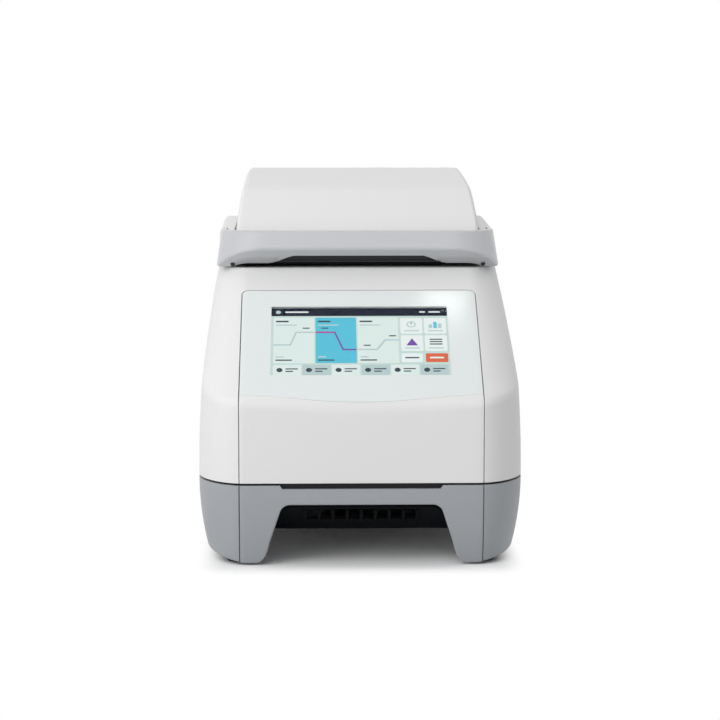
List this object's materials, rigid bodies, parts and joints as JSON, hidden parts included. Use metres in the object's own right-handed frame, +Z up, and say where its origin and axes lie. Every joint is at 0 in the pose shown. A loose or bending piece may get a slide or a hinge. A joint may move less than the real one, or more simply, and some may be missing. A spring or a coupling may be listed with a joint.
{
  "type": "thermal cycler",
  "caption": "Benchtop thermal cycler with a sloped touch display, a hinged heated lid with a lever handle, and a sample block with tube wells.",
  "frame": {"origin": "on the floor plane under the middle of the base", "axes": "+X to the user's right, -Y to the front, +Z up"},
  "size_m": [0.275, 0.43, 0.324],
  "materials": {
    "white_plastic": "satin",
    "grey_plastic": "satin",
    "silver_paint": "silver paint",
    "black_plastic": "satin",
    "charcoal_plastic": "satin",
    "panel_paint": "fine texture",
    "pale_glass": "polished",
    "screen": "polished",
    "circuit_board": "solder mask",
    "aluminium": "machined",
    "steel": "satin",
    "case_metal": "satin",
    "ceramic": "matt",
    "rubber": "matt",
    "heater_mat": "matt"
  },
  "bodies": {
    "base": {"lower_housing": "grey_plastic", "front_skirt": "grey_plastic", "intake_grille": "black_plastic", "base_plate": "steel", "foot_front_left": "rubber", "foot_front_right": "rubber", "foot_rear_left": "rubber", "foot_rear_right": "rubber", "upper_housing": "white_plastic", "front_panel": "white_plastic", "display_glass": "pale_glass", "lcd_module": "screen", "display_board": "circuit_board", "sample_block": "aluminium", "block_frame": "black_plastic", "lid_seal": "rubber", "peltier_1": "ceramic", "peltier_2": "ceramic", "peltier_3": "ceramic", "peltier_4": "ceramic", "peltier_5": "ceramic", "peltier_6": "ceramic", "heat_sink": "aluminium", "air_duct": "black_plastic", "fan_frame_left": "black_plastic", "fan_frame_right": "black_plastic", "rear_panel": "panel_paint", "power_inlet": "black_plastic", "power_supply": "case_metal", "main_board": "circuit_board", "network_port": "steel", "usb_port": "steel", "hinge_shaft": "steel", "hinge_bracket_left": "charcoal_plastic", "hinge_bracket_right": "charcoal_plastic", "counter_spring_left": "steel", "counter_spring_right": "steel", "striker_left": "steel", "striker_right": "steel"},
    "lid": {"lid_shell": "white_plastic", "lid_frame": "charcoal_plastic", "lid_hinge_arm_left": "charcoal_plastic", "lid_hinge_arm_right": "charcoal_plastic", "spring_bridge": "steel", "pressure_spring_1": "steel", "pressure_spring_2": "steel", "pressure_spring_3": "steel", "pressure_spring_4": "steel"},
    "press_plate": {"heated_plate": "aluminium", "heater_mat": "heater_mat"},
    "handle": {"handle_bail": "silver_paint", "handle_arm_left": "white_plastic", "handle_arm_right": "white_plastic", "handle_pin_left": "steel", "handle_pin_right": "steel", "latch_hook_left": "steel", "latch_hook_right": "steel"},
    "fan_left": {"fan_rotor_left": "black_plastic"},
    "fan_right": {"fan_rotor_right": "black_plastic"},
    "switch": {"switch_rocker": "black_plastic"}
  },
  "joints": [
    {"name": "lid_hinge", "type": "hinge", "parent": "base", "child": "lid", "pos_m": [0, 0.196, 0.2515], "axis": [-1, 0, 0], "range_deg": [0, 70]},
    {"name": "handle_lever", "type": "hinge", "parent": "lid", "child": "handle", "pos_m": [0, 0.09502, 0.262], "axis": [-1, 0, 0], "range_deg": [0, 30]},
    {"name": "plate_float", "type": "slide", "parent": "lid", "child": "press_plate", "axis": [0, 0, 1], "range_m": [0, 0.004], "stiffness_N_per_m": 3000, "springref_m": -0.003, "deforming": ["pressure_spring_1", "pressure_spring_2", "pressure_spring_3", "pressure_spring_4"]},
    {"name": "fan_left_spin", "type": "hinge", "parent": "base", "child": "fan_left", "pos_m": [-0.043, 0.2122, 0.1746], "axis": [0, 1, 0], "continuous": true},
    {"name": "fan_right_spin", "type": "hinge", "parent": "base", "child": "fan_right", "pos_m": [0.043, 0.2122, 0.1746], "axis": [0, 1, 0], "continuous": true},
    {"name": "power_switch", "type": "hinge", "parent": "base", "child": "switch", "pos_m": [-0.054, 0.2083, 0.052], "axis": [-1, 0, 0], "range_deg": [0, 14]}
  ]
}
